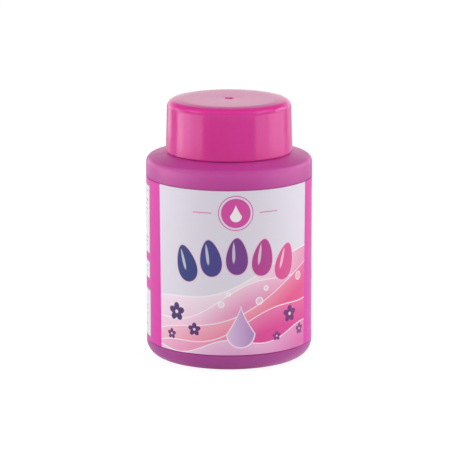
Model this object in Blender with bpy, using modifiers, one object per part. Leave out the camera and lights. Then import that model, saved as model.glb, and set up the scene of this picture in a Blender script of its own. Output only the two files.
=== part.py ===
"""A dip-in nail polish remover pot: a round plastic pot with a foam insert soaked in remover, a wrap-around
label in a shallow panel, and a screw cap with a foam liner. Metres, +Z up, the origin on the table under the axis,
and -Y the front."""

import math

import bmesh
import bpy

# Facets in a full turn, the same on every round piece so that neighbouring facets lie side by side
SEGMENTS = 72
# Loose fit between two pieces that touch when the real ones are assembled
SEAT_GAP = 0.0003

# Pot body, blow moulded in one piece
BODY_DIAMETER = 0.0510
SIDE_HEIGHT = 0.0606
BODY_WALL = 0.0011
FLOOR_THICKNESS = 0.0014
HEEL_RADIUS = 0.0048
FOOT_WIDTH = 0.0022
PUNT_DEPTH = 0.0015
PUNT_RAMP = 0.0040
SHOULDER_RADIUS = 0.0020
SHOULDER_SLOPE_DEG = 14.0
INNER_SHOULDER_RADIUS = 0.0012

# Label panel, a shallow recess that keeps the label flush with the side
PANEL_RECESS = 0.00035
PANEL_STEP = 0.0003
HEEL_BAND = 0.0001
SHOULDER_BAND = 0.0034

# Neck and its thread
NECK_DIAMETER = 0.0336
NECK_WALL = 0.0020
NECK_HEIGHT = 0.0126
LIP_RADIUS = 0.0004
THREAD_PITCH = 0.0042
THREAD_HEIGHT = 0.00095
THREAD_ROOT_WIDTH = 0.0022
THREAD_CREST_WIDTH = 0.0008
THREAD_ROOT_DEPTH = 0.0003
THREAD_SINK = 0.0002
THREAD_RUNOUT_DEG = 25.0
NECK_THREAD_TURNS = 1.4
NECK_THREAD_SETBACK = 0.0026
NECK_THREAD_START_DEG = -130.0

# Screw cap, injection moulded
CAP_WALL = 0.00145
CAP_DRAFT_DEG = 1.7
CAP_EDGE_RADIUS = 0.0020
CAP_TOP_THICKNESS = 0.0013
CAP_RIM_RADIUS = 0.0003
CAP_THREAD_TURNS = 1.25
CAP_THREAD_LEAD_DEG = 18.0
THREAD_CLEARANCE = 0.00025
THREAD_FLANK_GAP = 0.0003
LINER_BEAD = 0.0003
LINER_BEAD_RISE = 0.0005
GATE_DIAMETER = 0.0030
GATE_DEPTH = 0.0005

# Cap liner, a punched disc of closed-cell foam
LINER_THICKNESS = 0.0012
LINER_EDGE_GAP = 0.0004

# Foam insert, which fills the pot and swells up into the neck
FOAM_TOP_SETBACK = 0.0045
FOAM_EDGE_RADIUS = 0.0012
FOAM_FOOT_RADIUS = 0.0045
FOAM_SHOULDER_RADIUS = 0.0040
WELL_DIAMETER = 0.0140
WELL_DEPTH = 0.0480
WELL_FLARE = 0.0015
WELL_END_RADIUS = 0.0030

# Remover that stands in the finger well
LIQUID_DEPTH = 0.0120

# Wrap-around label
LABEL_THICKNESS = 0.0002
LABEL_GAP = 0.00015
LABEL_MARGIN = 0.0003
LABEL_SEAM = 0.0016

# Steps in each rounded stretch of an outline
FINE_STEPS = 5
COARSE_STEPS = 2
# Vertices this close on the axis are one
MERGE_DISTANCE = 0.00001
SMOOTH_ANGLE_DEG = 35.0

# Colours are sRGB hex values
PURPLE_PINK = "B0489A"
HOT_PINK = "D9479B"
LABEL_PINK = "DE4CAF"
LINER_WHITE = "EFECE8"
FOAM_LILAC = "E6D3E6"
LIQUID_PINK = "F0B8D8"

body_radius = BODY_DIAMETER / 2
slope = math.radians(SHOULDER_SLOPE_DEG)
panel_radius = body_radius - PANEL_RECESS
inner_radius = panel_radius - BODY_WALL
neck_radius = NECK_DIAMETER / 2
bore_radius = neck_radius - NECK_WALL
cap_inner_radius = neck_radius + THREAD_HEIGHT + THREAD_CLEARANCE
cap_radius = cap_inner_radius + CAP_WALL
foot_outer = body_radius - HEEL_RADIUS
foot_inner = foot_outer - FOOT_WIDTH
punt_radius = foot_inner - PUNT_RAMP
floor_top = PUNT_DEPTH + FLOOR_THICKNESS


def shoulder_height(radius):
    """Height of the pot's sloping shoulder at a distance from the axis."""
    edge_radius = body_radius - SHOULDER_RADIUS * (1 - math.sin(slope))
    edge_height = SIDE_HEIGHT + SHOULDER_RADIUS * math.cos(slope)
    return edge_height + (edge_radius - radius) * math.tan(slope)


def inner_shoulder_height(radius):
    """Height of the shoulder's underside, one wall thickness below the outside."""
    return shoulder_height(radius) - BODY_WALL / math.cos(slope)


neck_root = shoulder_height(neck_radius)
land_height = neck_root + NECK_HEIGHT
cap_bottom = shoulder_height(cap_radius) + SEAT_GAP
liner_bottom = land_height + SEAT_GAP
cap_ceiling = liner_bottom + LINER_THICKNESS + SEAT_GAP
cap_top = cap_ceiling + CAP_TOP_THICKNESS
cap_height = cap_top - cap_bottom
panel_bottom = HEEL_RADIUS + HEEL_BAND
panel_top = SIDE_HEIGHT - SHOULDER_BAND
foam_top = land_height - FOAM_TOP_SETBACK
well_radius = WELL_DIAMETER / 2
well_bottom = foam_top - WELL_DEPTH


def clear_scene():
    for obj in list(bpy.data.objects):
        bpy.data.objects.remove(obj, do_unlink=True)


def new_collection(name):
    collection = bpy.data.collections.new(name)
    bpy.context.scene.collection.children.link(collection)
    return collection


def linear(hex_colour):
    """An sRGB hex colour as Blender's linear red, green, blue and alpha."""
    channels = [int(hex_colour[i : i + 2], 16) / 255 for i in (0, 2, 4)]
    curve = [c / 12.92 if c <= 0.04045 else ((c + 0.055) / 1.055) ** 2.4 for c in channels]
    return (*curve, 1.0)


def plastic(name, hex_colour, roughness):
    material = bpy.data.materials.new(name)
    material.use_nodes = True
    shader = material.node_tree.nodes["Principled BSDF"]
    shader.inputs["Base Color"].default_value = linear(hex_colour)
    shader.inputs["Roughness"].default_value = roughness
    shader.inputs["Metallic"].default_value = 0.0
    return material


def arc(centre, radius, start_deg, end_deg, steps):
    """Points of an arc in the (radius, height) plane, both ends included."""
    angles = [math.radians(start_deg + (end_deg - start_deg) * i / steps) for i in range(steps + 1)]
    return [(centre[0] + radius * math.cos(a), centre[1] + radius * math.sin(a)) for a in angles]


def evaluated_mesh(obj):
    bpy.context.view_layer.update()
    return bpy.data.meshes.new_from_object(obj.evaluated_get(bpy.context.evaluated_depsgraph_get()))


def turned(name, outline, collection, material, height=0.0):
    """A solid turned about its own Z axis from an outline of (radius, height) points that starts and ends on
    the axis and runs down its outer side. The object stands at the given height."""
    mesh = bpy.data.meshes.new(name)
    edges = [(i, i + 1) for i in range(len(outline) - 1)]
    mesh.from_pydata([(r, 0, z) for r, z in outline], edges, [])
    obj = bpy.data.objects.new(name, mesh)
    collection.objects.link(obj)
    screw = obj.modifiers.new("Turn", "SCREW")
    screw.axis = "Z"
    screw.steps = screw.render_steps = SEGMENTS
    screw.use_merge_vertices = True
    screw.merge_threshold = MERGE_DISTANCE
    obj.data = evaluated_mesh(obj)
    obj.modifiers.clear()
    obj.data.name = name
    obj.data.shade_smooth()
    obj.data.set_sharp_from_angle(angle=math.radians(SMOOTH_ANGLE_DEG))
    obj.data.materials.append(material)
    obj.location.z = height
    return obj


def flat_curve(name, points, collection):
    """A closed outline in its own XY plane, used as the cross-section of a swept ridge."""
    curve = bpy.data.curves.new(name, "CURVE")
    curve.dimensions = "2D"
    spline = curve.splines.new("POLY")
    spline.points.add(len(points) - 1)
    for point, (x, y) in zip(spline.points, points):
        point.co = (x, y, 0, 1)
    spline.use_cyclic_u = True
    obj = bpy.data.objects.new(name, curve)
    collection.objects.link(obj)
    hide(obj)
    return obj


def hide(obj):
    obj.hide_render = True
    obj.display_type = "WIRE"


def ridge_half_width(depth):
    """Half the ridge's width at a distance from its sunken root towards its crest."""
    share = depth / (THREAD_SINK + THREAD_ROOT_DEPTH + THREAD_HEIGHT)
    return (THREAD_ROOT_WIDTH + (THREAD_CREST_WIDTH - THREAD_ROOT_WIDTH) * share) / 2


def thread_ridge(name, wall_radius, outward, base_height, start_deg, turns, collection):
    """A right-handed helical ridge on a round wall, tapering into the wall at both ends. outward is 1 on the
    outside of a neck and -1 on the inside of a cap. base_height is the ridge's middle at its lower end."""
    sunk = -THREAD_SINK
    crest = THREAD_ROOT_DEPTH + THREAD_HEIGHT
    section = [
        (outward * sunk, THREAD_ROOT_WIDTH / 2),
        (outward * crest, THREAD_CREST_WIDTH / 2),
        (outward * crest, -THREAD_CREST_WIDTH / 2),
        (outward * sunk, -THREAD_ROOT_WIDTH / 2),
    ]
    if outward < 0:
        section.reverse()
    path_radius = wall_radius - outward * THREAD_ROOT_DEPTH
    steps = round(turns * SEGMENTS / 2)
    curve = bpy.data.curves.new(name, "CURVE")
    curve.dimensions = "3D"
    spline = curve.splines.new("POLY")
    spline.points.add(steps)
    for i, point in enumerate(spline.points):
        turned_deg = 360 * turns * i / steps
        angle = math.radians(start_deg + turned_deg)
        height = base_height + THREAD_PITCH * turned_deg / 360
        point.co = (path_radius * math.cos(angle), path_radius * math.sin(angle), height, 1)
        from_end_deg = min(turned_deg, 360 * turns - turned_deg)
        point.radius = min(1.0, THREAD_SINK / THREAD_ROOT_WIDTH + from_end_deg / THREAD_RUNOUT_DEG)
    curve.bevel_mode = "OBJECT"
    curve.bevel_object = flat_curve(name + "_section", section, collection)
    curve.twist_mode = "Z_UP"
    curve.use_fill_caps = True
    sweep = bpy.data.objects.new(name + "_sweep", curve)
    collection.objects.link(sweep)
    mesh = evaluated_mesh(sweep)
    bm = bmesh.new()
    bm.from_mesh(mesh)
    bmesh.ops.remove_doubles(bm, verts=bm.verts, dist=MERGE_DISTANCE)
    bm.to_mesh(mesh)
    bm.free()
    ridge = bpy.data.objects.new(name, mesh)
    ridge.matrix_world = sweep.matrix_world
    collection.objects.link(ridge)
    hide(ridge)
    bpy.data.objects.remove(sweep)
    return ridge


def joined(obj, other, name):
    """Adds a Boolean union with another object to obj."""
    union = obj.modifiers.new(name, "BOOLEAN")
    union.operation = "UNION"
    union.solver = "EXACT"
    union.object = other


def pot_outline():
    """From the middle of the inside floor up the inner wall, over the lip and down the outside."""
    inner_heel = HEEL_RADIUS - BODY_WALL
    corner_r = inner_radius - INNER_SHOULDER_RADIUS
    corner_z = inner_shoulder_height(corner_r) - INNER_SHOULDER_RADIUS / math.cos(slope)
    edge_deg = 90 - SHOULDER_SLOPE_DEG
    return [
        (0, floor_top),
        (punt_radius, floor_top),
        (foot_inner, FLOOR_THICKNESS),
        *arc((inner_radius - inner_heel, FLOOR_THICKNESS + inner_heel), inner_heel, -90, 0, COARSE_STEPS),
        *arc((corner_r, corner_z), INNER_SHOULDER_RADIUS, 0, edge_deg, COARSE_STEPS),
        (bore_radius, inner_shoulder_height(bore_radius)),
        *arc((bore_radius + LIP_RADIUS, land_height - LIP_RADIUS), LIP_RADIUS, 180, 90, COARSE_STEPS),
        *arc((neck_radius - LIP_RADIUS, land_height - LIP_RADIUS), LIP_RADIUS, 90, 0, COARSE_STEPS),
        (neck_radius, neck_root),
        *arc((body_radius - SHOULDER_RADIUS, SIDE_HEIGHT), SHOULDER_RADIUS, edge_deg, 0, FINE_STEPS),
        (body_radius, panel_top),
        (panel_radius, panel_top - PANEL_STEP),
        (panel_radius, panel_bottom + PANEL_STEP),
        (body_radius, panel_bottom),
        *arc((body_radius - HEEL_RADIUS, HEEL_RADIUS), HEEL_RADIUS, 0, -90, FINE_STEPS),
        (foot_inner, 0),
        (punt_radius, PUNT_DEPTH),
        (0, PUNT_DEPTH),
    ]


def make_pot_body(parts, guides):
    pot = turned("pot_body", pot_outline(), parts, plastic("pot_body", PURPLE_PINK, 0.32))
    rise = THREAD_PITCH * NECK_THREAD_TURNS
    ridge = thread_ridge(
        "neck_thread",
        neck_radius,
        1,
        land_height - NECK_THREAD_SETBACK - rise,
        NECK_THREAD_START_DEG,
        NECK_THREAD_TURNS,
        guides,
    )
    joined(pot, ridge, "Neck thread")
    return pot


def cap_outline():
    """In the cap's own frame, whose origin is in the middle of its rim: from the middle of the top, over the
    rounded edge, down the tapering outside, and up the inside to the ceiling."""
    draft = math.radians(CAP_DRAFT_DEG)
    inner_top = cap_ceiling - cap_bottom
    edge_z = cap_height - CAP_EDGE_RADIUS
    edge_r = cap_radius - edge_z * math.tan(draft) - CAP_EDGE_RADIUS / math.cos(draft)
    gate_radius = GATE_DIAMETER / 2
    dish_radius = (gate_radius**2 + GATE_DEPTH**2) / (2 * GATE_DEPTH)
    dish_half_deg = math.degrees(math.asin(gate_radius / dish_radius))
    dish = arc((0, cap_height - GATE_DEPTH + dish_radius), dish_radius, -90, dish_half_deg - 90, COARSE_STEPS)
    bead_z = inner_top - SEAT_GAP - LINER_THICKNESS - LINER_BEAD_RISE
    rim_inner = (cap_inner_radius + CAP_RIM_RADIUS, CAP_RIM_RADIUS)
    rim_outer = (cap_radius - CAP_RIM_RADIUS, CAP_RIM_RADIUS)
    return [
        (0, cap_height - GATE_DEPTH),
        *dish[1:],
        *arc((edge_r, edge_z), CAP_EDGE_RADIUS, 90, CAP_DRAFT_DEG, FINE_STEPS),
        *arc(rim_outer, CAP_RIM_RADIUS, 0, -90, COARSE_STEPS),
        *arc(rim_inner, CAP_RIM_RADIUS, -90, -180, COARSE_STEPS),
        (cap_inner_radius, bead_z - LINER_BEAD),
        (cap_inner_radius - LINER_BEAD, bead_z),
        (cap_inner_radius, bead_z + LINER_BEAD),
        (cap_inner_radius, inner_top),
        (0, inner_top),
    ]


def make_screw_cap(parts, guides):
    cap = turned("screw_cap", cap_outline(), parts, plastic("screw_cap", HOT_PINK, 0.25), cap_bottom)
    root_to_root = 2 * (THREAD_SINK + THREAD_ROOT_DEPTH) + THREAD_HEIGHT + THREAD_CLEARANCE
    drop = 2 * ridge_half_width(root_to_root / 2) + THREAD_FLANK_GAP
    neck_base = land_height - NECK_THREAD_SETBACK - THREAD_PITCH * NECK_THREAD_TURNS
    lead = THREAD_PITCH * CAP_THREAD_LEAD_DEG / 360
    ridge = thread_ridge(
        "cap_thread",
        cap_inner_radius,
        -1,
        neck_base - drop - lead,
        NECK_THREAD_START_DEG - CAP_THREAD_LEAD_DEG,
        CAP_THREAD_TURNS,
        guides,
    )
    joined(cap, ridge, "Cap thread")
    return cap


def make_cap_liner(parts):
    radius = cap_inner_radius - LINER_BEAD - LINER_EDGE_GAP
    outline = [(0, LINER_THICKNESS), (radius, LINER_THICKNESS), (radius, 0), (0, 0)]
    return turned("cap_liner", outline, parts, plastic("cap_liner", LINER_WHITE, 0.7), liner_bottom)


def foam_outline():
    """From the bottom of the finger well, up the well, over the top, and down the outside."""
    outer = inner_radius - SEAT_GAP
    neck_r = bore_radius - SEAT_GAP
    foot = floor_top + SEAT_GAP
    corner_r = outer - FOAM_SHOULDER_RADIUS
    under = SEAT_GAP / math.cos(slope)
    corner_z = inner_shoulder_height(corner_r) - under - FOAM_SHOULDER_RADIUS / math.cos(slope)
    edge_deg = 90 - SHOULDER_SLOPE_DEG
    end_r = well_radius - WELL_END_RADIUS
    mouth = (well_radius + WELL_FLARE, foam_top - WELL_FLARE)
    return [
        (0, well_bottom),
        *arc((end_r, well_bottom + WELL_END_RADIUS), WELL_END_RADIUS, -90, 0, COARSE_STEPS),
        *arc(mouth, WELL_FLARE, 180, 90, COARSE_STEPS),
        *arc((neck_r - FOAM_EDGE_RADIUS, foam_top - FOAM_EDGE_RADIUS), FOAM_EDGE_RADIUS, 90, 0, COARSE_STEPS),
        (neck_r, inner_shoulder_height(neck_r) - under),
        *arc((corner_r, corner_z), FOAM_SHOULDER_RADIUS, edge_deg, 0, COARSE_STEPS),
        *arc((outer - FOAM_FOOT_RADIUS, foot + FOAM_FOOT_RADIUS), FOAM_FOOT_RADIUS, 0, -90, COARSE_STEPS),
        (0, foot),
    ]


def make_foam_insert(parts):
    return turned("foam_insert", foam_outline(), parts, plastic("foam_insert", FOAM_LILAC, 0.95))


def make_remover_liquid(parts):
    """The pool at the bottom of the finger well. Its origin is in the middle of its surface."""
    radius = well_radius - SEAT_GAP
    end = WELL_END_RADIUS
    outline = [
        (0, 0),
        (radius, 0),
        *arc((radius - end, end - LIQUID_DEPTH), end, 0, -90, COARSE_STEPS),
        (0, -LIQUID_DEPTH),
    ]
    surface = well_bottom + SEAT_GAP + LIQUID_DEPTH
    return turned("remover_liquid", outline, parts, plastic("remover_liquid", LIQUID_PINK, 0.05), surface)


def make_wrap_label(parts):
    """A strip of film round the panel, whose two ends leave a narrow seam at the back."""
    radius = panel_radius + LABEL_GAP
    low = panel_bottom + PANEL_STEP + LABEL_MARGIN
    high = panel_top - PANEL_STEP - LABEL_MARGIN
    mesh = bpy.data.meshes.new("wrap_label")
    mesh.from_pydata([(radius, 0, high), (radius, 0, low)], [(0, 1)], [])
    label = bpy.data.objects.new("wrap_label", mesh)
    parts.objects.link(label)
    seam_angle = LABEL_SEAM / radius
    wrap = label.modifiers.new("Wrap", "SCREW")
    wrap.axis = "Z"
    wrap.angle = 2 * math.pi - seam_angle
    wrap.steps = wrap.render_steps = SEGMENTS
    wrap.use_smooth_shade = True
    film = label.modifiers.new("Film", "SOLIDIFY")
    film.thickness = LABEL_THICKNESS
    film.offset = 1.0
    label.rotation_euler.z = (math.pi + seam_angle) / 2
    label.data.materials.append(plastic("wrap_label", LABEL_PINK, 0.3))
    return label


def make_axis(name, height, collection, children):
    """An empty on the pot's axis that carries the pieces that move together."""
    empty = bpy.data.objects.new(name, None)
    empty.location.z = height
    collection.objects.link(empty)
    bpy.context.view_layer.update()
    for child in children:
        child.parent = empty
        child.matrix_parent_inverse = empty.matrix_world.inverted()
    return empty


def main():
    clear_scene()
    parts = new_collection("Nail polish remover pot")
    guides = new_collection("Thread ridges")
    pot = make_pot_body(parts, guides)
    label = make_wrap_label(parts)
    foam = make_foam_insert(parts)
    liquid = make_remover_liquid(parts)
    cap = make_screw_cap(parts, guides)
    liner = make_cap_liner(parts)
    make_axis("pot_foot", 0.0, parts, [pot, label, foam, liquid])
    make_axis("cap_axis", cap_bottom, parts, [cap, liner])


main()
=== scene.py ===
"""The looks of a dip-in nail polish remover bottle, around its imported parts.

Metres, +Z up, the foot of the bottle at the origin and the front of its label towards -Y.
"""

import math

import bmesh
import bpy
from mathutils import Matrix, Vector


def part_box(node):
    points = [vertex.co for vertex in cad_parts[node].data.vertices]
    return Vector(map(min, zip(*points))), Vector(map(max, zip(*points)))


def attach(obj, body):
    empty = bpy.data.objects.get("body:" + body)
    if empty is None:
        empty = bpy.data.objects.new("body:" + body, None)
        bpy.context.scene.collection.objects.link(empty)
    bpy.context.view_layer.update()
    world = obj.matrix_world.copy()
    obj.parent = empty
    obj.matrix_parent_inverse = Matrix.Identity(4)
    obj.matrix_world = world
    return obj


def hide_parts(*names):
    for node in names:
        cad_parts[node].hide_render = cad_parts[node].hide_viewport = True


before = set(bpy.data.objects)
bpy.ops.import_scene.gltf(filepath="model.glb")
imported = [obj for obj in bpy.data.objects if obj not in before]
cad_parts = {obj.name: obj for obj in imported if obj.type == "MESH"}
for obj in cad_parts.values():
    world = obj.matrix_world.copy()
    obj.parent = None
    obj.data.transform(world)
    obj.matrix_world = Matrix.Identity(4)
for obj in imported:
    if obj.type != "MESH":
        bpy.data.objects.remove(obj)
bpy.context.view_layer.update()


# Camera. A long lens about a metre away looks down at the bottle by twelve and a half degrees, so the rims
# open into shallow ellipses and the sides draw in a little towards the foot.
image_side = 458
focal_pixels = 3341.6
axis_column = 229.1
sensor_width = 36
camera_distance = 1.0303
camera_elevation = math.radians(12.49)
camera_aim_height = 0.0391
nearest_seen = camera_distance / 100
farthest_seen = camera_distance * 20
bpy.ops.object.camera_add(
    location=(
        0,
        -camera_distance * math.cos(camera_elevation),
        camera_aim_height + camera_distance * math.sin(camera_elevation),
    ),
    rotation=(math.pi / 2 - camera_elevation, 0, 0),
)
camera = bpy.context.object
camera.name = "photo_camera"
camera.data.sensor_width = sensor_width
camera.data.lens = sensor_width * focal_pixels / image_side
camera.data.shift_x = (image_side / 2 - axis_column) / image_side
camera.data.clip_start = nearest_seen
camera.data.clip_end = farthest_seen
bpy.context.scene.camera = camera


# Pot body. Blow moulded in one piece from pigmented polyethylene, with a shallow panel for the label and a
# threaded neck, trimmed flat. The two halves of the mould leave a fine line down its sides, and the pinched
# end of the tube that it was blown from leaves a short weld across the raised middle of its foot.
hair = 0.000002  # how near two places are that count as one
turned_steps = 192
arc_steps = 8
pot_low, pot_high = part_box("pot_body")
body_radius = pot_high.x
land_height = pot_high.z
neck_height = 0.0126
neck_radius = 0.0168
bore_radius = 0.0148
neck_fillet = 0.0008
lip_rounding = 0.0004
shoulder_slope = math.radians(14)
shoulder_rounding = 0.0020
body_wall = 0.0011
floor_thickness = 0.0014
heel_rounding = 0.0048
foot_width = 0.0022
foot_rounding = 0.0005
punt_depth = 0.0015
punt_ramp = 0.0040
punt_rounding = 0.0020
panel_recess = 0.00035
panel_step = 0.0003
panel_rounding = 0.00012
heel_band = 0.0003
side_height = 0.0606
shoulder_band = 0.00405
mould_line_turn = math.radians(6)
mould_line_half_width = 0.00012
mould_line_height = 0.00004
mould_line_foot = heel_rounding / 4
weld_half_length = 0.0085
weld_taper = 0.0010
weld_half_width = 0.0004
weld_height = 0.0003

neck_root = land_height - neck_height
inner_radius = body_radius - panel_recess - body_wall
foot_inner = body_radius - heel_rounding - foot_width
punt_radius = foot_inner - punt_ramp
panel_top = side_height - shoulder_band
panel_bottom = heel_rounding + heel_band


def shoulder_height(radius):
    """Height of the pot's sloping shoulder at a distance from the axis."""
    return neck_root + (neck_radius - radius) * math.tan(shoulder_slope)


def inner_shoulder_height(radius):
    return shoulder_height(radius) - body_wall / math.cos(shoulder_slope)


def select_where(piece, test):
    """In edit mode, selects the vertices whose place passes the test, and the faces between them."""
    bpy.ops.mesh.select_all(action="DESELECT")
    mesh = bmesh.from_edit_mesh(piece.data)
    for vertex in mesh.verts:
        vertex.select = test(vertex.co)
    mesh.select_flush_mode()
    bmesh.update_edit_mesh(piece.data)


def drawn_outline(name, outline):
    """Draws an outline of (radius, height, rounding) points in the XZ plane from one vertex, by extruding it
    from point to point, and rounds its corners. The new piece is left in edit mode."""
    bpy.ops.object.select_all(action="DESELECT")
    radius, height, _ = outline[0]
    bpy.ops.mesh.primitive_plane_add(size=hair, location=(radius, 0, height))
    bpy.ops.object.transform_apply(location=True)
    piece = bpy.context.object
    piece.name = name
    bpy.ops.object.mode_set(mode="EDIT")
    bpy.ops.mesh.select_all(action="SELECT")
    bpy.ops.mesh.merge(type="CENTER")
    for (r, z, _), (next_r, next_z, _) in zip(outline, outline[1:]):
        bpy.ops.mesh.extrude_vertices_move(TRANSFORM_OT_translate={"value": (next_r - r, 0, next_z - z)})
    places = [Vector((r, 0, z)) for r, z, _ in outline]
    for before, corner, after, (_, _, rounding) in zip(places, places[1:], places[2:], outline[1:]):
        if rounding:
            turn = (corner - before).angle(after - corner)
            select_where(piece, lambda place: (place - corner).length < hair)
            bpy.ops.mesh.bevel(offset=rounding * math.tan(turn / 2), segments=arc_steps, affect="VERTICES")
    return piece


def subdivide_between(piece, low, high, step):
    """Adds points along the straight stretch of the outline between two (radius, height) places."""
    low = Vector((low[0], 0, low[1]))
    high = Vector((high[0], 0, high[1]))
    direction = (high - low).normalized()

    def on_stretch(place):
        along = (place - low).dot(direction)
        beside = (place - low - direction * along).length
        return beside < hair and -hair < along < (high - low).length + hair

    select_where(piece, on_stretch)
    bpy.ops.mesh.subdivide(number_cuts=round((high - low).length / step) - 1)


def spin_outline(piece, steps):
    """Spins the outline round the Z axis into a closed solid, with its poles and its seam merged."""
    bpy.ops.mesh.select_all(action="SELECT")
    bpy.ops.mesh.spin(steps=steps, angle=2 * math.pi, center=(0, 0, 0), axis=(0, 0, 1), use_auto_merge=True)
    bpy.ops.mesh.select_all(action="SELECT")
    bpy.ops.mesh.remove_doubles(threshold=hair)
    bpy.ops.mesh.normals_make_consistent(inside=False)


def smoothed(share):
    """Eases a share from 0 to 1, flat at both ends."""
    share = min(1, max(0, share))
    return share * share * (3 - 2 * share)


def mould_thread(piece, wall_radius, height, low, start, turns):
    """Moves the vertices of a round wall in or out by height, into a right-handed thread that fades in and
    out of the wall. low and start are the height and angle of the lower end of its middle line."""
    for vertex in piece.data.vertices:
        place = vertex.co
        radius = math.hypot(place.x, place.y)
        if abs(radius - wall_radius) > mould_line_height + hair:
            continue
        turn = ((math.atan2(place.y, place.x) - start) / (2 * math.pi)) % 1
        raised = 0
        while turn <= turns:
            beside = abs(place.z - low - thread_pitch * turn)
            across = smoothed((thread_root_half - beside) / (thread_root_half - thread_crest_half))
            from_end = min(turn, turns - turn)
            raised = max(raised, across * smoothed(from_end / thread_fade_share))
            turn += 1
        place.xy *= 1 + height * raised / radius


def finished(piece, body, node, material, smooth_degrees=30):
    """Leaves edit mode and hands the piece over: it replaces its CAD node and rides on that node's body."""
    if bpy.context.mode != "OBJECT":
        bpy.ops.object.mode_set(mode="OBJECT")
    bpy.ops.object.shade_smooth_by_angle(angle=math.radians(smooth_degrees))
    piece.data.materials.clear()
    piece.data.materials.append(material)
    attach(piece, body)
    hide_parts(node)


def ink(hex_colour):
    """An sRGB hex colour as the linear red, green, blue and alpha that shaders take."""
    channels = [int(hex_colour[i : i + 2], 16) / 255 for i in (0, 2, 4)]
    curve = [c / 12.92 if c <= 0.04045 else ((c + 0.055) / 1.055) ** 2.4 for c in channels]
    return (*curve, 1.0)


class Shade:
    """One output of a shader node. Arithmetic on it adds Math nodes, so a pattern reads as a formula."""

    def __init__(self, tree, socket):
        self.tree = tree
        self.socket = socket

    def node(self, kind, settings, sockets, output=0):
        """Adds a node of a kind: its settings are made first, and then its sockets are filled or linked."""
        made = self.tree.nodes.new("ShaderNode" + kind)
        for name, value in settings.items():
            setattr(made, name, value)
        for name, value in sockets.items():
            if isinstance(value, Shade):
                self.tree.links.new(value.socket, made.inputs[name])
            else:
                made.inputs[name].default_value = value
        return Shade(self.tree, made.outputs[output])

    def other(self, output):
        """Another output of the same node."""
        return Shade(self.tree, self.socket.node.outputs[output])

    def math(self, operation, *others):
        return self.node("Math", {"operation": operation}, dict(enumerate((self, *others))))

    def __add__(self, other):
        return self.math("ADD", other)

    def __sub__(self, other):
        return self.math("SUBTRACT", other)

    def __rsub__(self, other):
        return self.node("Math", {"operation": "SUBTRACT"}, {0: other, 1: self})

    def __mul__(self, other):
        return self.math("MULTIPLY", other)

    def __truediv__(self, other):
        return self.math("DIVIDE", other)

    def __mod__(self, other):
        return self.math("FLOORED_MODULO", other)

    def __pow__(self, other):
        return self.math("POWER", other)

    def __abs__(self):
        return self.math("ABSOLUTE")

    __radd__ = __add__
    __rmul__ = __mul__

    def feed(self, shader, name):
        self.tree.links.new(self.socket, shader.inputs[name])


def new_finish(name, **settings):
    """A material, its shader with settings made on it, and the object coordinates that its patterns read."""
    material = bpy.data.materials.new(name)
    material.use_nodes = True
    tree = material.node_tree
    shader = tree.nodes["Principled BSDF"]
    for setting, value in settings.items():
        shader.inputs[setting.replace("_", " ")].default_value = value
    place = Shade(tree, tree.nodes.new("ShaderNodeTexCoord").outputs["Object"])
    return material, shader, place


def axes_of(place):
    """The X of a place. Its Y and Z are other outputs of the same node."""
    return place.node("SeparateXYZ", {}, {"Vector": place})


def mixed(share, first, second):
    """A colour that goes from first to second as share goes from 0 to 1."""
    return share.node("Mix", {"data_type": "RGBA"}, {0: share, 6: first, 7: second}, 2)


def noise(place, size, detail=2.0, roughness=0.5):
    """Soft random shading whose lumps are about size across."""
    sockets = {"Vector": place, "Scale": 1 / size, "Detail": detail, "Roughness": roughness}
    return place.node("TexNoise", {}, sockets)


def cloud(place, size, detail=3.0):
    """Noise with clearer small lumps among its large ones."""
    return noise(place, size, detail, roughness=0.6)


def ramp(value, low, high, to_low=0.0, to_high=1.0):
    """A value carried evenly from one range to another, and held inside the second."""
    sockets = {"Value": value, "From Min": low, "From Max": high, "To Min": to_low, "To Max": to_high}
    return value.node("MapRange", {"clamp": True}, sockets)


def bump(height, distance, strength=1.0):
    """A normal from a height between 0 and 1 that stands for so many metres."""
    return height.node("Bump", {}, {"Height": height, "Distance": distance, "Strength": strength}, "Normal")


# The thread, the same on the neck and in the cap.
thread_pitch = 0.0042
thread_height = 0.00095
thread_root_half = 0.00105
thread_crest_half = 0.0003
thread_fade_share = 0.07
thread_row = 0.00018
neck_thread_setback = 0.0026
neck_thread_turns = 1.4
neck_thread_start = math.radians(-130)

pot = drawn_outline(
    "pot_body_moulding",
    [
        (0, punt_depth + floor_thickness, 0),
        (punt_radius, punt_depth + floor_thickness, punt_rounding),
        (foot_inner, floor_thickness, punt_rounding),
        (inner_radius, floor_thickness, heel_rounding - body_wall),
        (inner_radius, inner_shoulder_height(inner_radius), shoulder_rounding - body_wall),
        (bore_radius, inner_shoulder_height(bore_radius), neck_fillet),
        (bore_radius, land_height, lip_rounding),
        (neck_radius, land_height, lip_rounding),
        (neck_radius, neck_root, neck_fillet),
        (body_radius, shoulder_height(body_radius), shoulder_rounding),
        (body_radius, panel_top, panel_rounding),
        (body_radius - panel_recess, panel_top - panel_step, panel_rounding),
        (body_radius - panel_recess, panel_bottom + panel_step, panel_rounding),
        (body_radius, panel_bottom, 0),
        (body_radius, 0, heel_rounding),
        (foot_inner, 0, foot_rounding),
        (punt_radius, punt_depth, punt_rounding),
        (weld_half_length + weld_taper, punt_depth, 0),
        (weld_half_length, punt_depth, 0),
        (0, punt_depth, 0),
    ],
)
subdivide_between(pot, (neck_radius, neck_root), (neck_radius, land_height), thread_row)
spin_outline(pot, turned_steps)

mould_line_across = Vector((-math.sin(mould_line_turn), math.cos(mould_line_turn), 0))
for beside in (-weld_half_width, -mould_line_half_width, 0, mould_line_half_width, weld_half_width):
    bpy.ops.mesh.select_all(action="SELECT")
    bpy.ops.mesh.bisect(plane_co=mould_line_across * beside, plane_no=mould_line_across)


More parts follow.
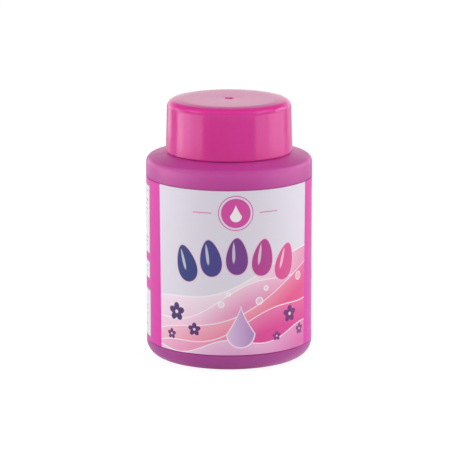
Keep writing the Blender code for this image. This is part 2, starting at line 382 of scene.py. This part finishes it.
def on_mould_line(place):
    """On the plane between the mould's halves, and on the outside of the pot above its foot ring."""
    radius = math.hypot(place.x, place.y)
    outside = radius > inner_radius + hair or (
        radius > neck_radius - hair and place.z > shoulder_height(radius) - hair
    )
    between_ends = mould_line_foot < place.z < land_height - lip_rounding
    return abs(place.dot(mould_line_across)) < hair and outside and between_ends


def on_weld(place):
    return (
        abs(place.dot(mould_line_across)) < mould_line_half_width + hair
        and math.hypot(place.x, place.y) < weld_half_length + hair
        and abs(place.z - punt_depth) < hair
    )


select_where(pot, on_mould_line)
bpy.ops.transform.shrink_fatten(value=mould_line_height)
select_where(pot, on_weld)
bpy.ops.transform.translate(value=(0, 0, -weld_height))
bpy.ops.object.mode_set(mode="OBJECT")
mould_thread(
    pot,
    neck_radius,
    thread_height,
    land_height - neck_thread_setback - thread_pitch * neck_thread_turns,
    neck_thread_start,
    neck_thread_turns,
)

pot_foot_painted_shade_colour = ink("A83C91")
pot_side_colour = ink("BE3898")
pot_shoulder_painted_light_colour = ink("D244A8")
pot_flow_colour = ink("D060AC")
pot_flow_size = 0.012
pot_flow_share = 0.12
pot_scuff_size = 0.0030
pot_scuff_reach = (0.45, 0.75)
pot_roughness = (0.36, 0.39)
orange_peel_size = 0.0024
orange_peel_height = 0.00002
cloud_reach = (0.35, 0.65)  # most of a cloud's values lie between these
pot_plastic, pot_shader, place = new_finish(
    "purple_pink_polyethylene", IOR=1.54, Subsurface_Weight=0.06, Subsurface_Scale=0.002
)
up_pot = axes_of(place).other("Z")
# The plastic's colour, darker and bluer towards the foot as painted shade and brighter at the shoulder as
# painted light.
pigment_and_painted_light = mixed(ramp(up_pot, 0, panel_top), pot_foot_painted_shade_colour, pot_side_colour)
pigment_and_painted_light = mixed(ramp(up_pot, panel_top, side_height + shoulder_rounding), pigment_and_painted_light, pot_shoulder_painted_light_colour)
pigment_flow = cloud(place, pot_flow_size)
flow_share = ramp(pigment_flow, *cloud_reach, 0, pot_flow_share)
mixed(flow_share, pigment_and_painted_light, pot_flow_colour).feed(pot_shader, "Base Color")
scuffs = cloud(place, pot_scuff_size)
ramp(scuffs, *pot_scuff_reach, *pot_roughness).feed(pot_shader, "Roughness")
orange_peel = noise(place, orange_peel_size, detail=1.0)
bump(orange_peel, orange_peel_height, strength=0.3).feed(pot_shader, "Normal")
finished(pot, "pot", "pot_body", pot_plastic)


# Wrap-around label. A strip of white film, printed in pinks, varnished and die cut with rounded corners. It
# sticks in the pot's panel, and its two ends stop short of each other at the back. All its print is plain
# ornament: drops, nail shapes, rolling waves, bubbles, blossoms and ruled lines.
label_low, label_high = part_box("wrap_label")
film_thickness = 0.0002
film_trim = 0.0003
label_seam = 0.0016
label_corner = 0.0015
corner_room_share = 1.1
label_steps = 236

label_radius = body_radius - film_thickness
film_top = label_high.z - film_trim
seam_turn = label_seam / label_radius
corner_turn = label_corner * corner_room_share / label_radius
start_turn = math.pi / 2 - seam_turn / 2  # the spin turns clockwise, seen from above
film_start = (label_radius * math.cos(start_turn), label_radius * math.sin(start_turn), label_low.z)
bpy.ops.object.select_all(action="DESELECT")
bpy.ops.mesh.primitive_plane_add(size=hair, location=film_start)
bpy.ops.object.transform_apply(location=True)
label = bpy.context.object
label.name = "label_film"
bpy.ops.object.mode_set(mode="EDIT")
bpy.ops.mesh.select_all(action="SELECT")
bpy.ops.mesh.merge(type="CENTER")
bpy.ops.mesh.extrude_vertices_move(TRANSFORM_OT_translate={"value": (0, 0, film_top - label_low.z)})
bpy.ops.mesh.select_all(action="SELECT")
around = 2 * math.pi - seam_turn
for steps, turn in ((1, corner_turn), (label_steps, around - 2 * corner_turn), (1, corner_turn)):
    bpy.ops.mesh.spin(steps=steps, angle=turn, center=(0, 0, 0), axis=(0, 0, 1))


def at_label_corner(place):
    at_end = abs(place.x) < label_seam and place.y > 0
    at_edge = min(abs(place.z - label_low.z), abs(place.z - film_top)) < hair
    return at_end and at_edge


select_where(label, at_label_corner)
bpy.ops.mesh.bevel(offset=label_corner, segments=arc_steps, affect="VERTICES")
bpy.ops.mesh.select_all(action="SELECT")
bpy.ops.mesh.normals_make_consistent(inside=False)
bpy.ops.object.mode_set(mode="OBJECT")
film = label.modifiers.new("Film", "SOLIDIFY")
film.thickness = film_thickness
film.offset = 1
bpy.ops.object.modifier_apply(modifier=film.name)

label_film, label_shader, place = new_finish("printed_label_film", IOR=1.5)
to_millimetres = 1000
print_softness = 0.12
sideways = axes_of(place)
label_turn = sideways.math("ARCTAN2", sideways.other("Y") * -1)
across = label_turn * (body_radius * to_millimetres)
up = (sideways.other("Z") - label_low.z) * to_millimetres


def within(distance):
    """1 where a distance in millimetres is below zero, and 0 where it is above, with a soft edge between."""
    return ramp(distance, -print_softness / 2, print_softness / 2, 1.0, 0.0)


def disc(x, y, radius):
    return ((across - x) ** 2 + (up - y) ** 2) ** 0.5 - radius


def box(left, right, low, high):
    beside = abs(across - (left + right) / 2) - (right - left) / 2
    above = abs(up - (low + high) / 2) - (high - low) / 2
    return beside.math("MAXIMUM", above)


def nail(x, y, half_width, half_height, lean):
    """An almond shape, narrower at its upper end, that leans by so many degrees."""
    turn = math.radians(lean)
    along = (across - x) * math.sin(turn) + (up - y) * math.cos(turn)
    beside = (across - x) * math.cos(turn) - (up - y) * math.sin(turn)
    narrowed = 1 - along * (nail_taper_share / half_height)
    ring = (beside / (narrowed * half_width)) ** 2 + (along / half_height) ** 2
    return (ring**0.5 - 1) * half_width


def drop(x, y, radius):
    """A drop with its point upwards: a disc below, drawn in to a point two radii above its middle."""
    rise = up - y
    cone = abs(across - x) - (1 - ramp(rise, 0, 2 * radius)) ** drop_curve * radius
    cone = cone.math("MAXIMUM", rise - (2 * radius - print_softness))
    above = ramp(rise, 0, print_softness)
    return above.node("Mix", {"data_type": "FLOAT"}, {0: above, 2: disc(x, y, radius), 3: cone})


def blossom(x, y, radius):
    """Round petals about a middle."""
    right = across - x
    round_petals = abs((right.math("ARCTAN2", up - y) * (petals / 2)).math("COSINE"))
    reach = round_petals * petal_share + (1 - petal_share)
    return (right**2 + (up - y) ** 2) ** 0.5 - reach * radius


# Sizes and places of the print, in millimetres across from the middle of the front and up from the film's
# lower edge. The white panel narrows towards the foot by so much at each side.
panel_left = -24.8
panel_right = 28.9
panel_narrowing = 0.75
nail_taper_share = 0.26
drop_curve = 1.35
petals = 5
petal_share = 0.42
ground_pink = ink("E330AC")
panel_white = ink("E5DFEB")
bright_white = ink("FFFFFF")
panel_middle = (panel_left + panel_right) / 2
panel_height = (film_top - label_low.z) * to_millimetres
narrowed = (panel_height - up) * (panel_narrowing / panel_height)
panel = within(abs(across - panel_middle) + narrowed - (panel_right - panel_left) / 2)
printed = mixed(panel, ground_pink, panel_white)

# Each wave: height at the panel's middle, slope, swing, wavelength, shift, body colour, crest colour. All are
# shaded below their crests, paler towards the left and deeper towards the right.
waves = [
    (22.6, 0.30, 1.9, 46, 8, "F4CCE0", "F9E3EE"),
    (18.4, 0.34, 2.2, 38, -3, "EE97C4", "F8CBE1"),
    (14.0, 0.38, 2.2, 52, 14, "F2628B", "F79DB6"),
    (8.6, 0.30, 1.8, 36, 4, "E64A9C", "F27FB3"),
    (3.6, 0.12, 1.4, 27, -8, "E093CC", "F0BADD"),
]
crest_half_width = 0.16
crest_strength = 0.8
crest_shading = (0.5, 6.5)
pale_colour = ink("F8E2F2")
pale_end = 6
pale_share = 0.5
deep_colour = ink("E23A96")
deep_start = 8
deep_share = 0.6
for middle_height, slope, swing, length, shift, body_colour, crest_colour in waves:
    swell = ((across - shift) * (2 * math.pi / length)).math("SINE") * swing
    below = (across - panel_middle) * slope + swell + middle_height - up
    wave_colour = mixed(ramp(below, *crest_shading), ink(crest_colour), ink(body_colour))
    wave_colour = mixed(ramp(across, panel_left, pale_end, pale_share, 0.0), wave_colour, pale_colour)
    wave_colour = mixed(ramp(across, deep_start, panel_right, 0.0, deep_share), wave_colour, deep_colour)
    printed = mixed(within(below * -1) * panel, printed, wave_colour)
    crest = within(abs(below) - crest_half_width) * panel * crest_strength
    printed = mixed(crest, printed, bright_white)

# A row of painted nails, each with a pale rim and a streak of shine: place across, height, lean and colour.
nails = [
    (-13.6, 27.9, -15, "2F3C80"),
    (-5.7, 30.0, -7, "45408C"),
    (2.4, 30.7, 0, "7A3A90"),
    (10.5, 30.0, 7, "BC3C94"),
    (18.4, 27.9, 15, "E24E98"),
]
nail_half_width = 3.25
nail_half_height = 5.7
rim_half_width = nail_half_width + 0.4
rim_half_height = nail_half_height + 0.45
rim_strength = 0.6
rim_colour = ink("F6C6DF")
shine_left = 1.0
shine_above = 1.1
shine_half_width = 0.45
shine_half_height = 3.1
shine_strength = 0.55
for x, y, lean, colour in nails:
    rim = nail(x, y, rim_half_width, rim_half_height, lean)
    shine = nail(x - shine_left, y + shine_above, shine_half_width, shine_half_height, lean)
    printed = mixed(within(rim) * rim_strength, printed, rim_colour)
    printed = mixed(within(nail(x, y, nail_half_width, nail_half_height, lean)), printed, ink(colour))
    printed = mixed(within(shine) * shine_strength, printed, bright_white)

# A round badge with a ring about it and a white drop on it, and a rule at each side.
badge_height = 44.0
badge_radius = 4.5
badge_ring_gap = 0.75
badge_ring_half_width = 0.14
badge_drop_height = badge_height - 0.9
badge_drop_radius = 1.8
badge_rule_start = 7.4
badge_rule_end = 13.4
badge_rule_half_height = 0.13
badge_pink = ink("DA4AA6")
badge_white = ink("FAF3F8")
badge = disc(panel_middle, badge_height, badge_radius)
printed = mixed(within(badge), printed, badge_pink)
printed = mixed(within(abs(badge - badge_ring_gap) - badge_ring_half_width), printed, badge_pink)
printed = mixed(within(drop(panel_middle, badge_drop_height, badge_drop_radius)), printed, badge_white)
rule_low = badge_height - badge_rule_half_height
rule_high = badge_height + badge_rule_half_height
for side in (-1, 1):
    inner, outer = sorted((panel_middle + side * badge_rule_start, panel_middle + side * badge_rule_end))
    printed = mixed(within(box(inner, outer, rule_low, rule_high)), printed, badge_pink)

# A large lilac drop among the waves, lighter on its left and with a pale rim.
large_drop_across = 3.6
large_drop_height = 6.6
large_drop_radius = 4.5
large_drop_inner_radius = 4.1
large_drop_shading = (-0.5, 7.5)
drop_rim_colour = ink("F7E6F2")
light_lilac = ink("E3C3E6")
deep_lilac = ink("B98CC9")
drop_rim = within(drop(large_drop_across, large_drop_height, large_drop_radius))
printed = mixed(drop_rim, printed, drop_rim_colour)
drop_inside = within(drop(large_drop_across, large_drop_height, large_drop_inner_radius))
lilac = mixed(ramp(across, *large_drop_shading), light_lilac, deep_lilac)
printed = mixed(drop_inside, printed, lilac)

# A few bubbles over the waves: place across, height and radius.
bubbles = [(-2.4, 15.8, 0.9), (-0.2, 19.0, 0.6), (9.4, 16.6, 1.1), (11.6, 20.4, 0.7), (24.6, 22.4, 1.2)]
bubble_strength = 0.35
bubble_rim_half_width = 0.13
for x, y, radius in bubbles:
    bubble = disc(x, y, radius)
    printed = mixed(within(bubble) * bubble_strength, printed, bright_white)
    printed = mixed(within(abs(bubble) - bubble_rim_half_width), printed, bright_white)

# Plum blossoms in the lower corners: place across, height, radius and colour.
blossoms = [
    (-17.2, 12.4, 2.9, "4A2C6E"),
    (-10.9, 7.6, 2.1, "5A2C72"),
    (-19.2, 5.2, 1.7, "6B3380"),
    (20.6, 11.2, 2.7, "7A2476"),
    (25.4, 5.6, 1.8, "8A2C80"),
    (15.4, 5.0, 1.5, "8A2C80"),
]
blossom_eye_share = 0.2
blossom_eye_colour = ink("F6D8EA")
for x, y, radius, colour in blossoms:
    printed = mixed(within(blossom(x, y, radius)), printed, ink(colour))
    printed = mixed(within(disc(x, y, radius * blossom_eye_share)), printed, blossom_eye_colour)

# White boxes for small print on the sides and back, outlined in plum and filled with plain grey rules: left,
# right, low and high.
small_print_boxes = [
    (-73.4, -32.0, 27.3, 49.0),
    (-73.4, -32.0, 19.4, 25.3),
    (-73.4, -52.0, 1.2, 16.4),
    (-50.0, -31.4, 1.2, 16.4),
    (37.0, 73.4, 21.0, 49.0),
    (37.0, 73.4, 2.0, 18.6),
]
box_line_inset = 0.2
box_line_half_width = 0.13
rule_pitch = 1.45
rule_half_height = 0.2
rule_margin = 1.5
rule_raggedness = 6
rule_strength = 0.75
box_white = ink("F1EEF4")
box_plum = ink("6A3A78")
rule_grey = ink("8E8798")
for left, right, low, high in small_print_boxes:
    edge = box(left, right, low, high)
    printed = mixed(within(edge), printed, box_white)
    printed = mixed(within(abs(edge + box_line_inset) - box_line_half_width), printed, box_plum)
    line = (up - low) / rule_pitch
    from_line = abs(line % 1 - 0.5) * rule_pitch - rule_half_height
    row = line.math("FLOOR") + left
    raggedness = row.node("TexWhiteNoise", {"noise_dimensions": "1D"}, {"W": row}, "Value")
    beyond = across + raggedness * rule_raggedness - (right - rule_margin)
    ruled = box(left + rule_margin, right - rule_margin, low + rule_margin, high - rule_margin)
    rule = from_line.math("MAXIMUM", beyond).math("MAXIMUM", ruled)
    printed = mixed(within(rule) * rule_strength, printed, rule_grey)

varnish_size = 0.0025
varnish_reach = (0.3, 0.7)
varnish_roughness = (0.34, 0.42)
film_wave_size = 0.004
film_grain_size = 0.0004
film_grain_share = 0.1
film_relief_height = 0.00003
printed.feed(label_shader, "Base Color")
varnish = cloud(place, varnish_size)
ramp(varnish, *varnish_reach, *varnish_roughness).feed(label_shader, "Roughness")
film_waves = noise(place, film_wave_size, detail=1.0)
film_grain = noise(place, film_grain_size, detail=1.0)
film_relief = film_waves + film_grain * film_grain_share
bump(film_relief, film_relief_height, strength=0.35).feed(label_shader, "Normal")
finished(label, "pot", "wrap_label", label_film)


# Foam insert. A plug of open-cell polyurethane foam, cut to fill the pot and swell up into the neck, with a
# round well punched down its middle for the finger. It is soaked in the remover, which tints it.
foam_low, foam_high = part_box("foam_insert")
foam_radius = foam_high.x
foam_clearance = 0.0003
foam_neck_radius = bore_radius - foam_clearance
well_radius = 0.0070
well_depth = 0.0480
well_bottom = foam_high.z - well_depth
well_flare = 0.0015
well_end_rounding = 0.0030
foam_edge_rounding = 0.0012
foam_shoulder_rounding = 0.0040
foam_foot_rounding = 0.0045
foam_row = 0.0003
foam_steps = 160
pore_size = 0.0011
pore_depth = 0.00026
pore_sharpness = 1.2


def foam_shoulder_height(radius):
    return inner_shoulder_height(radius) - foam_clearance / math.cos(shoulder_slope)


foam = drawn_outline(
    "soaked_foam",
    [
        (0, well_bottom, 0),
        (well_radius, well_bottom, well_end_rounding),
        (well_radius, foam_high.z, well_flare),
        (foam_neck_radius, foam_high.z, foam_edge_rounding),
        (foam_neck_radius, foam_shoulder_height(foam_neck_radius), 0),
        (foam_radius, foam_shoulder_height(foam_radius), foam_shoulder_rounding),
        (foam_radius, foam_low.z, foam_foot_rounding),
        (0, foam_low.z, 0),
    ],
)
subdivide_between(foam, (well_radius, well_bottom), (well_radius, foam_high.z), foam_row)
subdivide_between(foam, (well_radius, foam_high.z), (foam_neck_radius, foam_high.z), foam_row)
spin_outline(foam, foam_steps)
bpy.ops.object.mode_set(mode="OBJECT")
pore_texture = bpy.data.textures.new("foam_pores", "VORONOI")
pore_texture.noise_scale = pore_size
pore_texture.noise_intensity = pore_sharpness
pores = foam.modifiers.new("Pores", "DISPLACE")
pores.texture = pore_texture
pores.texture_coords = "LOCAL"
pores.strength = pore_depth
pores.mid_level = 1
bpy.ops.object.modifier_apply(modifier=pores.name)

cell_size = 0.0007
cell_reach = (0.02, 0.26)
fine_cell_size = 0.00038
fine_cell_reach = (0.08, 0.32)
fine_cell_share = 0.55
cell_depth = 0.0003
web_break_size = 0.0011
web_break_share = 0.3
web_break_reach = (0.1, 0.19)
blotch_size = 0.006
blotch_reach = (0.35, 0.7)
dry_foam_colour = ink("EADBEC")
wet_foam_colour = ink("DDC6E2")
cell_shadow_colour = ink("8F6A9C")
foam_finish, foam_shader, place = new_finish(
    "wet_lilac_foam", Roughness=0.85, Subsurface_Weight=0.2, Subsurface_Scale=0.002
)


def open_cells(size, low, high):
    """0 on the webs between cells of about a size, and 1 in the openings of the cells."""
    cells = {"Vector": place, "Scale": 1 / size}
    from_web = place.node("TexVoronoi", {"feature": "DISTANCE_TO_EDGE"}, cells, "Distance")
    return ramp(from_web, low, high)


ragged_web = noise(place, web_break_size) * web_break_share
openings = open_cells(cell_size, *cell_reach) * ramp(ragged_web, *web_break_reach)
fine_openings = open_cells(fine_cell_size, *fine_cell_reach) * fine_cell_share
pits = openings.math("MAXIMUM", fine_openings)
blotches = noise(place, blotch_size, detail=3.0)
damp = mixed(ramp(blotches, *blotch_reach), dry_foam_colour, wet_foam_colour)
mixed(pits, damp, cell_shadow_colour).feed(foam_shader, "Base Color")
bump(1 - pits, cell_depth, strength=0.9).feed(foam_shader, "Normal")
finished(foam, "pot", "foam_insert", foam_finish, smooth_degrees=60)


# Remover. What the foam can't hold stands as a pool at the bottom of the well: a clear liquid, dyed pink,
# that creeps up the wall of the well at its edge.
liquid_low, liquid_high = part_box("remover_liquid")
liquid_radius = liquid_high.x
meniscus_rise = 0.0005
meniscus_rounding = 0.0016
liquid_steps = 96
ripple_size = 0.004
ripple_height = 0.00002
deep_liquid_colour = ink("EC6CBC")
top_liquid_colour = ink("FAB2DE")
pool_height = liquid_high.z - meniscus_rise
remover = drawn_outline(
    "remover_pool",
    [
        (0, pool_height, 0),
        (liquid_radius - meniscus_rounding, pool_height, meniscus_rounding),
        (liquid_radius, liquid_high.z, 0),
        (liquid_radius, liquid_low.z, well_end_rounding),
        (0, liquid_low.z, 0),
    ],
)
spin_outline(remover, liquid_steps)
liquid_finish, liquid_shader, place = new_finish(
    "pink_remover", Roughness=0.03, IOR=1.36, Transmission_Weight=0.25
)
up_liquid = axes_of(place).other("Z")
liquid_depth = ramp(up_liquid, liquid_low.z, liquid_high.z)
mixed(liquid_depth, deep_liquid_colour, top_liquid_colour).feed(liquid_shader, "Base Color")
bump(noise(place, ripple_size, detail=0.0), ripple_height, strength=0.3).feed(liquid_shader, "Normal")
finished(remover, "pot", "remover_liquid", liquid_finish)


# Screw cap. Injection moulded in glossy polypropylene, with a dished mark in the middle of its top where the
# plastic was fed in. Inside are its thread and a bead that snaps over the edge of the liner. Its plain side
# tapers slightly so that it leaves the mould. A band of painted light brightens it along the top's edge.
cap_low, cap_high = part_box("screw_cap")
liner_low, liner_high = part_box("cap_liner")
cap_radius = cap_high.x
cap_draft = math.radians(1.7)
cap_edge_rounding = 0.0023
cap_edge_ease = 0.0044
cap_edge_ease_slope = math.radians(5)
cap_edge_ease_rounding = 0.008
cap_wall = 0.00145
cap_top_thickness = 0.0013
cap_rim_rounding = 0.0003
cap_lead_in = 0.0004
liner_bead = 0.0003
liner_bead_rounding = 0.0002
bead_below_liner = 0.0005
gate_radius = 0.0015
gate_floor_radius = 0.0007
gate_depth = 0.0004
gate_rounding = 0.0003
gate_stub_radius = 0.00035
gate_stub_height = 0.0002
cap_thread_turns = 1.25
cap_thread_lead = math.radians(18)
cap_thread_drop = 0.00144
ceiling_rounding = 0.0003

cap_inner_radius = cap_radius - cap_wall
cap_ceiling = cap_high.z - cap_top_thickness
cap_top_radius = cap_radius - (cap_high.z - cap_low.z) * math.tan(cap_draft)
cap_edge_height = cap_high.z - cap_edge_ease * math.tan(cap_edge_ease_slope)
bead_height = liner_low.z - bead_below_liner
gate_floor = cap_high.z - gate_depth
gate_stub_top = gate_floor + gate_stub_height
cap_thread_low = (
    land_height
    - neck_thread_setback
    - thread_pitch * (neck_thread_turns + cap_thread_lead / (2 * math.pi))
    - cap_thread_drop
)
cap = drawn_outline(
    "cap_moulding",
    [
        (0, gate_stub_top, 0),
        (gate_stub_radius, gate_stub_top, gate_stub_height / 4),
        (gate_stub_radius, gate_floor, 0),
        (gate_floor_radius, gate_floor, gate_rounding),
        (gate_radius, cap_high.z, gate_rounding),
        (cap_top_radius - cap_edge_ease, cap_high.z, cap_edge_ease_rounding),
        (cap_top_radius, cap_edge_height, cap_edge_rounding),
        (cap_radius, cap_low.z, cap_rim_rounding),
        (cap_inner_radius + cap_lead_in, cap_low.z, cap_rim_rounding / 2),
        (cap_inner_radius, cap_low.z + cap_lead_in, cap_rim_rounding),
        (cap_inner_radius, bead_height - liner_bead, liner_bead_rounding),
        (cap_inner_radius - liner_bead, bead_height, liner_bead_rounding),
        (cap_inner_radius, bead_height + liner_bead, 0),
        (cap_inner_radius, cap_ceiling, ceiling_rounding),
        (0, cap_ceiling, 0),
    ],
)
subdivide_between(
    cap, (cap_inner_radius, cap_low.z + cap_lead_in), (cap_inner_radius, bead_height - liner_bead), thread_row
)
spin_outline(cap, turned_steps)
bpy.ops.object.mode_set(mode="OBJECT")
cap_thread_start = neck_thread_start - cap_thread_lead
mould_thread(cap, cap_inner_radius, -thread_height, cap_thread_low, cap_thread_start, cap_thread_turns)

cap_colour = ink("DD2A94")
cap_flow_colour = ink("E22D9C")
cap_edge_painted_light_colour = ink("FC2EA8")
edge_pale_start = cap_high.z - 0.0017
edge_pale_full = cap_high.z - 0.0011
edge_pale_fade = cap_high.z - 0.0003
edge_pale_end = cap_high.z - 0.0001
cap_flow_size = 0.010
cap_scuff_size = 0.0025
cap_scuff_reach = (0.4, 0.75)
cap_roughness = (0.17, 0.20)
cap_ripple_size = 0.0026
cap_ripple_height = 0.000012
cap_plastic, cap_shader, place = new_finish(
    "hot_pink_polypropylene", IOR=1.5, Subsurface_Weight=0.2, Subsurface_Scale=0.003
)
cap_flow = cloud(place, cap_flow_size)
cap_pigment = mixed(ramp(cap_flow, *cloud_reach), cap_colour, cap_flow_colour)
up_cap = axes_of(place).other("Z")
# A band of painted light, a brighter pink, along the top's rounded edge.
edge_painted_light_share = ramp(up_cap, edge_pale_start, edge_pale_full) * ramp(up_cap, edge_pale_fade, edge_pale_end, 1, 0)
mixed(edge_painted_light_share, cap_pigment, cap_edge_painted_light_colour).feed(cap_shader, "Base Color")
cap_scuffs = cloud(place, cap_scuff_size, detail=2.0)
ramp(cap_scuffs, *cap_scuff_reach, *cap_roughness).feed(cap_shader, "Roughness")
cap_ripples = noise(place, cap_ripple_size, detail=1.0)
bump(cap_ripples, cap_ripple_height, strength=0.2).feed(cap_shader, "Normal")
finished(cap, "cap", "screw_cap", cap_plastic)


# Cap liner. A disc punched from a sheet of white closed-cell polyethylene foam and pushed past the bead into
# the cap, where the neck's rim has pressed a shallow ring into its underside.
liner_radius = liner_high.x
liner_edge_rounding = 0.0002
pressed_depth = 0.00012
pressed_margin = 0.0002
pressed_inner = bore_radius - pressed_margin
pressed_outer = neck_radius + pressed_margin
liner = drawn_outline(
    "liner_disc",
    [
        (0, liner_high.z, 0),
        (liner_radius, liner_high.z, liner_edge_rounding),
        (liner_radius, liner_low.z, liner_edge_rounding),
        (pressed_outer + pressed_depth, liner_low.z, pressed_depth / 2),
        (pressed_outer, liner_low.z + pressed_depth, pressed_depth / 2),
        (pressed_inner, liner_low.z + pressed_depth, pressed_depth / 2),
        (pressed_inner - pressed_depth, liner_low.z, pressed_depth / 2),
        (0, liner_low.z, 0),
    ],
)
spin_outline(liner, turned_steps)

skin_bubble_size = 0.00035
skin_bubble_edge = 0.35
skin_bubble_share = 0.35
skin_relief_edge = 0.5
skin_relief_height = 0.00003
sheet_cloud_size = 0.004
sheet_colours = (ink("ECE9E6"), ink("F4F2F0"))
skin_bubble_colour = ink("DCD8D6")
liner_finish, liner_shader, place = new_finish(
    "white_closed_cell_foam", Roughness=0.6, Subsurface_Weight=0.15
)
bubble_cells = {"Vector": place, "Scale": 1 / skin_bubble_size}
skin_bubbles = place.node("TexVoronoi", {"feature": "F1"}, bubble_cells, "Distance")
sheet_cloud = cloud(place, sheet_cloud_size)
sheet_colour = mixed(ramp(sheet_cloud, *cloud_reach), *sheet_colours)
bubble_share = ramp(skin_bubbles, 0.0, skin_bubble_edge, skin_bubble_share, 0.0)
mixed(bubble_share, sheet_colour, skin_bubble_colour).feed(liner_shader, "Base Color")
skin_relief = ramp(skin_bubbles, 0.0, skin_relief_edge)
bump(skin_relief, skin_relief_height, strength=0.5).feed(liner_shader, "Normal")
finished(liner, "liner", "cap_liner", liner_finish)


# Studio. A plain white acrylic table lit from below, more strongly for the camera, in an even room that is
# dimmer overhead. Low upright panels on both sides draw the long highlights on the bottle's walls, two above
# them catch the cap's rounded edge, two high ones light its top, and two strips behind pick out its outline.
floor_side = 6.0
floor_glow = 1.2
floor_glow_middle = 0.08
floor_glow_left = 0.08
floor_glow_right = 0.22
floor_glow_near = 0.002
floor_glow_far = 0.03
foot_glow_middle = 0.08
foot_glow_left = 0.1
foot_glow_right = 0.42
foot_glow_near = 0.005
foot_glow_far = 0.02
foot_glow_width = 0.010
floor_seen_share = 0.75
floor_colour = ink("E2E2E3")
bpy.ops.object.select_all(action="DESELECT")
bpy.ops.mesh.primitive_plane_add(size=floor_side, location=(0, 0, 0))
floor = bpy.context.object
floor.name = "studio_floor"
floor_finish, floor_shader, place = new_finish("matte_white_table", Roughness=0.9)
floor_shader.inputs["Base Color"].default_value = floor_colour
table = floor_finish.node_tree
glow = table.nodes.new("ShaderNodeEmission")
glow.inputs["Strength"].default_value = floor_glow
seen = Shade(table, table.nodes.new("ShaderNodeLightPath").outputs["Is Camera Ray"])
sideways = axes_of(place)


def glow_across(near, far, middle, right, left):
    """A share of glow that goes from its middle value to the right's between two distances from the axis, and
    gains the left's between the same two on the other side."""
    return ramp(sideways, near, far, middle, right) + ramp(sideways, -far, -near, left, 0.0)


glow_share = glow_across(
    floor_glow_near, floor_glow_far, floor_glow_middle, floor_glow_right, floor_glow_left
)
from_axis = (sideways**2 + sideways.other("Y") ** 2) ** 0.5
near_foot = ramp(from_axis, body_radius, body_radius + foot_glow_width, 1.0, 0.0)
foot_share = glow_across(foot_glow_near, foot_glow_far, foot_glow_middle, foot_glow_right, foot_glow_left)
glow_share = glow_share + near_foot * foot_share
lit_share = seen * (floor_seen_share - glow_share) + glow_share
table_top = Shade(table, floor_shader.outputs["BSDF"])
light_below = Shade(table, glow.outputs["Emission"])
surfaces = {0: lit_share, 1: table_top, 2: light_below}
lit_share.node("MixShader", {}, surfaces).feed(table.nodes["Material Output"], "Surface")
floor.data.materials.append(floor_finish)


def soft_box(name, azimuth, distance, width, low, high, brightness):
    """An upright soft box that faces the bottle's axis. Azimuth 0 is in front and 90 at the bottle's right,
    and a brightness of 1 is that of a white sheet in full light."""
    turn = math.radians(azimuth)
    place = (distance * math.sin(turn), -distance * math.cos(turn), (low + high) / 2)
    bpy.ops.object.light_add(type="AREA", location=place, rotation=(math.pi / 2, 0, turn))
    light = bpy.context.object
    light.name = name
    light.data.shape = "RECTANGLE"
    light.data.size = width
    light.data.size_y = high - low
    light.data.energy = brightness * math.pi * width * (high - low)
    light.visible_camera = False


# Each soft box: name, azimuth, distance, width, lower edge, upper edge and brightness.
soft_boxes = [
    ("left_far_panel", -99.5, 0.30, 0.074, 0.004, 0.09, 2.9),
    ("left_middle_panel", -82, 0.30, 0.122, 0.004, 0.09, 2.1),
    ("left_near_panel", -59, 0.30, 0.12, 0.004, 0.09, 1.5),
    ("right_far_panel", 108, 0.30, 0.11, 0.004, 0.09, 1.15),
    ("right_middle_panel", 86, 0.30, 0.13, 0.004, 0.09, 1.8),
    ("right_near_panel", 60, 0.30, 0.13, 0.004, 0.09, 1.3),
    ("right_upper_panel", 112, 0.30, 0.16, 0.14, 0.235, 2.5),
    ("left_upper_panel", -108, 0.30, 0.12, 0.14, 0.21, 1.6),
    ("left_rim_strip", -140, 0.35, 0.12, 0.005, 0.12, 1.0),
    ("right_rim_strip", 142, 0.35, 0.12, 0.005, 0.12, 0.3),
    ("left_high_panel", -80, 0.50, 0.40, 0.36, 0.66, 1.2),
    ("right_high_panel", 80, 0.50, 0.40, 0.36, 0.66, 1.6),
]
for settings in soft_boxes:
    soft_box(*settings)


def grey(level):
    return (level, level, level, 1)


# The room's light by direction. Each ceiling fades in between two heights, with 0 level and 1 straight up,
# and the near half changes to the far one between two depths, with -1 in front and 1 behind.
near_wall = grey(0.92)
near_ceiling = grey(0.56)
near_ceiling_reach = (0.25, 0.6)
far_wall = grey(1.08)
far_ceiling = grey(0.27)
far_ceiling_reach = (0.2, 0.5)
front_to_back = (-0.25, 0.25)
backdrop = grey(1)
studio = bpy.data.worlds.new("studio_room")
bpy.context.scene.world = studio
studio.use_nodes = True
room = studio.node_tree
background = room.nodes["Background"]
direction = Shade(room, room.nodes.new("ShaderNodeTexCoord").outputs["Generated"])
rightwards = axes_of(direction)
behind = rightwards.other("Y")
overhead = rightwards.other("Z")
seen = Shade(room, room.nodes.new("ShaderNodeLightPath").outputs["Is Camera Ray"])
near_half = mixed(ramp(overhead, *near_ceiling_reach), near_wall, near_ceiling)
far_half = mixed(ramp(overhead, *far_ceiling_reach), far_wall, far_ceiling)
room_light = mixed(ramp(behind, *front_to_back), near_half, far_half)
mixed(seen, room_light, backdrop).feed(background, "Color")
bpy.context.scene.view_settings.view_transform = "Standard"
